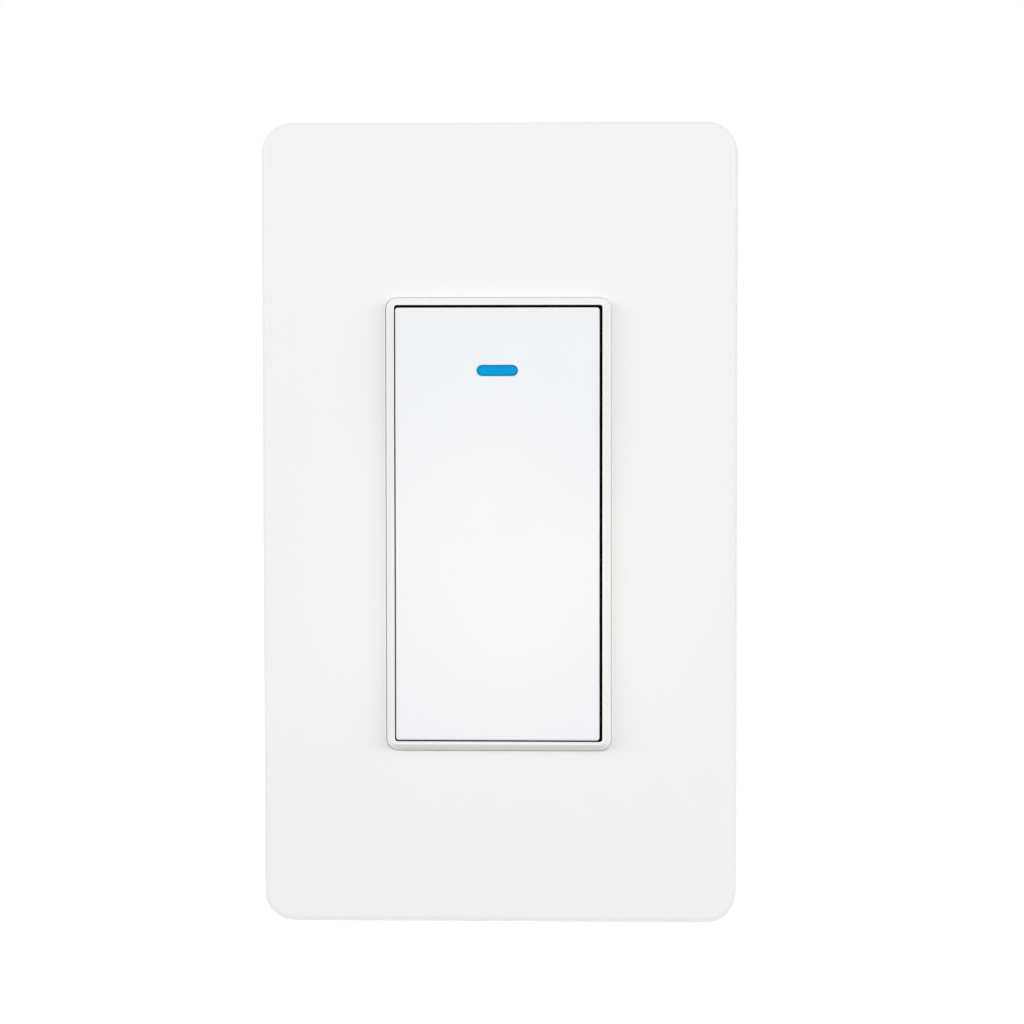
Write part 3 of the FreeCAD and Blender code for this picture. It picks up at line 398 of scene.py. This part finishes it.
def skin_ends(mesh, first, last, rows):
    """Faces from the plain rings to the ridge's first and last rows, with the steps in them closed."""
    seam = THREAD_SIDES - 1
    turn = len(THREAD_ROWS)
    for i in range(seam):
        mesh.faces.new((first[i], first[i + 1], rows[0][i + 1], rows[0][i]))
        mesh.faces.new((rows[-1][i], rows[-1][i + 1], last[i + 1], last[i]))
    opening = [rows[j][0] for j in range(turn + 1)]
    mesh.faces.new([first[seam], first[0]] + opening + [rows[0][seam]])
    closing = [rows[-1 - j][seam] for j in range(turn)]
    mesh.faces.new([rows[-1 - turn][seam], rows[-1][0], last[0], last[seam]] + closing)


def thread(mesh, radius, start, end):
    """A threaded length of a screw; gives back the plain rings at its two ends."""
    root = radius - THREAD_DEPTH
    first = ring_of(mesh, root, start)
    last = ring_of(mesh, root, end)
    rows = ridge_rows(mesh, radius, root, start, end)
    skin_ridge(mesh, rows)
    skin_ends(mesh, first, last, rows)
    return first, last


def pan_head(head_r, head_h, neck_r):
    """A low domed head's profile from its crown to the seat at y = 0."""
    shoulder = -head_h * HEAD_CROWN
    dome_r = (head_r**2 + (head_h + shoulder)**2) / (2 * (head_h + shoulder))
    half = math.asin(head_r / dome_r)
    angles = [half * s / DOME_STEPS for s in range(1, DOME_STEPS)]
    profile = [(dome_r * math.sin(a), dome_r * (1 - math.cos(a)) - head_h) for a in angles]
    edge = head_r * PAN_EDGE
    profile += [(head_r - edge, shoulder - edge), (head_r, shoulder + edge), (head_r, -edge)]
    return profile + [(head_r - edge, 0.0), (neck_r + edge, 0.0), (neck_r, edge)]


def flat_head(head_r, head_h, neck_r):
    """A countersunk head's profile, with its face at y = 0."""
    edge = head_r * FLAT_EDGE
    return [(head_r - edge, 0.0), (head_r, edge), (neck_r + edge, head_h - edge), (neck_r, head_h + edge)]


def washer_head(head_r, head_h, washer_t, shank_r):
    """A hexagon head on its own washer, with the corners eased at the top."""
    across = head_r - EARTH_WASHER_RIM
    flat = across * math.cos(math.pi / 6)
    ease = head_h * HEX_EASE
    edge = washer_t * WASHER_EDGE
    profile = [(flat * HEX_FACE, -head_h), (across, ease - head_h, True), (across, -washer_t, True)]
    profile += [(head_r - edge, -washer_t + edge * WASHER_FALL), (head_r, edge - washer_t)]
    return profile + [(head_r, -edge), (head_r - edge, 0.0), (shank_r, 0.0)]


def recess_cutter(top_y, deep_y, halves):
    """Tapered slots of a driver recess, each with its half sizes across, down from the plane top_y."""
    mesh = bmesh.new()
    for half_x, half_z in halves:
        corners = [(-half_x, -half_z), (half_x, -half_z), (half_x, half_z), (-half_x, half_z)]
        top = [mesh.verts.new((x, top_y - CUT_PAST, z)) for x, z in corners]
        foot = [mesh.verts.new((x * RECESS_TAPER, deep_y, z * RECESS_TAPER)) for x, z in corners]
        mesh.faces.new(top)
        mesh.faces.new(foot[::-1])
        for i in range(4):
            j = (i + 1) % 4
            mesh.faces.new((top[j], top[i], foot[i], foot[j]))
    return mesh


def cross_recess(head_r, head_h):
    reach = head_r * RECESS_SHARE
    halves = ((reach, RECESS_W / 2), (RECESS_W / 2, reach))
    return recess_cutter(-head_h, head_r * RECESS_DEPTH - head_h, halves)


def slot_recess(head_r, top_y, deep):
    return recess_cutter(top_y, top_y + deep, ((2 * head_r, RECESS_W / 2),))


def new_object(name, data):
    """A new object in the scene, which holds a mesh, a light or a camera."""
    thing = bpy.data.objects.new(name, data)
    bpy.context.scene.collection.objects.link(thing)
    return thing


def cut_away(body, cutter):
    """A form with another cut out of it, by an exact boolean; all three are in bmesh form."""
    pieces = []
    for form in (body, cutter):
        bmesh.ops.recalc_face_normals(form, faces=form.faces[:])
        mesh = bpy.data.meshes.new("cut")
        form.to_mesh(mesh)
        pieces.append(new_object("cut", mesh))
    modifier = pieces[0].modifiers.new("cut", "BOOLEAN")
    modifier.operation = "DIFFERENCE"
    modifier.solver = "EXACT"
    modifier.use_self = True
    modifier.object = pieces[1]
    graph = bpy.context.evaluated_depsgraph_get()
    result = bmesh.new()
    result.from_mesh(pieces[0].evaluated_get(graph).to_mesh())
    for piece in pieces:
        bpy.data.meshes.remove(piece.data)
    return result


def screw_form(profile, shank_r, start, length, cutter):
    """One screw along the y axis: head, neck, thread from start on and point, with its recess."""
    mesh = bmesh.new()
    head = [ring_of(mesh, *ring) for ring in profile]
    first, last = thread(mesh, shank_r, start, length - POINT_L)
    tip = ring_of(mesh, shank_r - THREAD_DEPTH - POINT_L / 2, length)
    skin(mesh, head + [first])
    skin(mesh, [last, tip])
    mesh.faces.new(head[0][::-1])
    mesh.faces.new(tip)
    return cut_away(mesh, cutter)


def smooth_by_angle(form):
    """Smooth shading, with the sharp edges left as edges."""
    for face in form.faces:
        face.smooth = True
    for edge in form.edges:
        edge.smooth = len(edge.link_faces) == 2 and edge.calc_face_angle(0.0) < SHARP_EDGE


def copies(name, node, form, places, body="switch_body"):
    """One object that holds a form at each place, in place of a CAD node."""
    mesh = bpy.data.meshes.new(name)
    part = bpy.data.meshes.new(name + "_one")
    bmesh.ops.scale(form, vec=(MM, MM, MM), verts=form.verts[:])
    form.to_mesh(part)
    whole = bmesh.new()
    for place in places:
        start = len(whole.verts)
        whole.from_mesh(part)
        whole.verts.ensure_lookup_table()
        bmesh.ops.transform(whole, matrix=place, verts=whole.verts[start:])
    bpy.data.meshes.remove(part)
    bmesh.ops.recalc_face_normals(whole, faces=whole.faces[:])
    whole.normal_update()
    smooth_by_angle(whole)
    whole.to_mesh(mesh)
    piece = new_object(name, mesh)
    slot = SLOT_OF[node]
    mesh.materials.append(MATERIALS[slot])
    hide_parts(node)
    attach(piece, body)


def standing(x, y, z, turn=None):
    """A place in millimetres, and a turn away from pointing along +y."""
    move = Matrix.Translation(Vector((x, y, z)) * MM)
    return move @ turn if turn else move


def make_box_screws():
    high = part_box("box_screws")[1] / MM
    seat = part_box("mounting_strap")[0].y / MM
    head_r = high.x
    profile = pan_head(head_r, BOX_HEAD_H, BOX_NECK_R) + [(BOX_NECK_R, BOX_NECK_L)]
    recess = cross_recess(head_r, BOX_HEAD_H)
    form = screw_form(profile, BOX_SCREW_R, BOX_NECK_L + THREAD_AFTER, high.y - seat, recess)
    places = [standing(0, seat, side * (high.z - head_r)) for side in (-1, 1)]
    copies("box_screws_threaded", "box_screws", form, places)


def make_plate_screws():
    low, high = (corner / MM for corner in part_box("sub_plate_screws"))
    head_r = high.x
    profile = flat_head(head_r, PLATE_HEAD_H, PLATE_SCREW_R)
    recess = slot_recess(head_r, 0.0, PLATE_HEAD_H / 2)
    form = screw_form(profile, PLATE_SCREW_R, PLATE_HEAD_H + THREAD_AFTER, high.y - low.y, recess)
    places = [standing(0, low.y, side * (high.z - head_r)) for side in (-1, 1)]
    copies("sub_plate_screws_threaded", "sub_plate_screws", form, places)


def make_earth_screw():
    low, high = (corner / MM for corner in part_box("earth_screw"))
    mid = (low + high) / 2
    head_r = (high.y - low.y) / 2
    profile = washer_head(head_r, EARTH_HEAD_H, EARTH_WASHER_T, EARTH_SCREW_R)
    recess = slot_recess(head_r, -EARTH_HEAD_H, EARTH_SLOT_DEPTH)
    length = high.x - low.x - EARTH_HEAD_H
    form = screw_form(profile, EARTH_SCREW_R, THREAD_AFTER, length, recess)
    turn = Matrix.Rotation(-math.pi / 2, 4, "Z")
    place = standing(low.x + EARTH_HEAD_H, mid.y, mid.z, turn)
    copies("earth_screw_threaded", "earth_screw", form, [place])


def make_terminal_screws():
    low, high = (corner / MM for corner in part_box("terminal_screws"))
    head_r = (high.y - low.y) / 2
    profile = pan_head(head_r, TERMINAL_HEAD_H, TERMINAL_SCREW_R)
    recess = cross_recess(head_r, TERMINAL_HEAD_H)
    form = screw_form(profile, TERMINAL_SCREW_R, THREAD_AFTER, TERMINAL_SCREW_L, recess)
    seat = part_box("wire_clamps")[1].x / MM
    places = []
    for side in (-1, 1):
        turn = Matrix.Rotation(side * math.pi / 2, 4, "Z")
        for end in (-1, 1):
            places.append(standing(side * seat, low.y + head_r, end * (high.z - head_r), turn))
    copies("terminal_screws_threaded", "terminal_screws", form, places)


def dress_nodes():
    """Every CAD node takes the material of its slot."""
    for name, slot in SLOT_OF.items():
        materials = frame["nodes"][name].data.materials
        materials.clear()
        materials.append(MATERIALS[slot])


# Stage, light and camera
def camera_ray(tree):
    """1 for rays from the camera and for those seen in gloss or through glass, else 0."""
    path = tree.nodes.new("ShaderNodeLightPath").outputs
    seen = math_node(tree, "MAXIMUM", path["Is Camera Ray"], path["Is Glossy Ray"])
    return math_node(tree, "MAXIMUM", seen, path["Is Transmission Ray"])


def make_world():
    """A plain sky that lights the scene at its level and looks white to the camera."""
    world = bpy.data.worlds.new("studio")
    world.use_nodes = True
    bpy.context.scene.world = world
    tree = world.node_tree
    sky = tree.nodes["Background"]
    sky.inputs["Color"].default_value = opaque((1.0, 1.0, 1.0))
    level = {"Value": camera_ray(tree), "To Min": WORLD_LEVEL, "To Max": 1.0}
    tree.links.new(new_node(tree, "ShaderNodeMapRange", level).outputs["Result"], sky.inputs["Strength"])


def make_floor():
    """A plain pale floor that takes the shadow, lifted to white for the camera."""
    half = FLOOR_SIZE / 2
    corners = [(x * half, y * half, FLOOR_Z) for x, y in ((-1, -1), (1, -1), (1, 1), (-1, 1))]
    mesh = bpy.data.meshes.new("floor")
    mesh.from_pydata(corners, [], [(0, 1, 2, 3)])
    floor = new_object("floor", mesh)
    material, tree, shader = new_material("floor_white")
    shader.inputs["Base Color"].default_value = opaque(FLOOR_COLOUR)
    shader.inputs["Roughness"].default_value = FLOOR_ROUGHNESS
    shader.inputs["Emission Color"].default_value = opaque((1.0, 1.0, 1.0))
    lift = math_node(tree, "MULTIPLY", camera_ray(tree), FLOOR_LIFT)
    tree.links.new(lift, shader.inputs["Emission Strength"])
    mesh.materials.append(material)


def make_soft_lamp(name, at, size, power):
    """A rectangular soft light aimed at the switch."""
    light = bpy.data.lights.new(name, "AREA")
    light.shape = "RECTANGLE"
    light.size, light.size_y = size
    light.energy = power
    lamp = new_object(name, light)
    lamp.location = at
    lamp.rotation_mode = "QUATERNION"
    lamp.rotation_quaternion = (Vector(LAMP_TARGET) - Vector(at)).to_track_quat("-Z", "Y")


def make_glow():
    """A soft-edged spot straight onto the middle of the key."""
    light = bpy.data.lights.new("glow_light", "SPOT")
    light.energy = GLOW_POWER
    light.color = GLOW_COLOUR
    light.spot_size = 2 * math.atan(GLOW_RADIUS / GLOW_FROM)
    light.spot_blend = 1.0
    light.shadow_soft_size = GLOW_SIZE
    lamp = new_object("glow_light", light)
    lamp.location = (0.0, -GLOW_FROM, GLOW_Z)
    lamp.rotation_euler = (math.pi / 2, 0.0, 0.0)


def make_lights():
    for lamp in SOFT_LAMPS:
        make_soft_lamp(*lamp)
    make_glow()


def make_camera():
    """A pinhole camera at the photograph's place and angle."""
    camera = bpy.data.cameras.new("camera")
    camera.sensor_width = SENSOR_MM
    camera.lens = SENSOR_MM * FOCAL_PX / PICTURE_PX
    camera.clip_start = NEAREST
    camera.clip_end = FARTHEST
    flat = math.cos(CAMERA_PITCH)
    ahead = Vector((-math.sin(CAMERA_YAW) * flat, math.cos(CAMERA_YAW) * flat, -math.sin(CAMERA_PITCH)))
    roll = Matrix.Rotation(CAMERA_ROLL, 3, "Z").to_quaternion()
    eye = new_object("camera", camera)
    eye.location = Vector(CAMERA_AT) * MM
    eye.rotation_mode = "QUATERNION"
    eye.rotation_quaternion = ahead.to_track_quat("-Z", "Y") @ roll
    bpy.context.scene.camera = eye


dress_nodes()
make_box_screws()
make_plate_screws()
make_earth_screw()
make_terminal_screws()
make_world()
make_floor()
make_lights()
make_camera()
bpy.context.scene.view_settings.view_transform = "Standard"
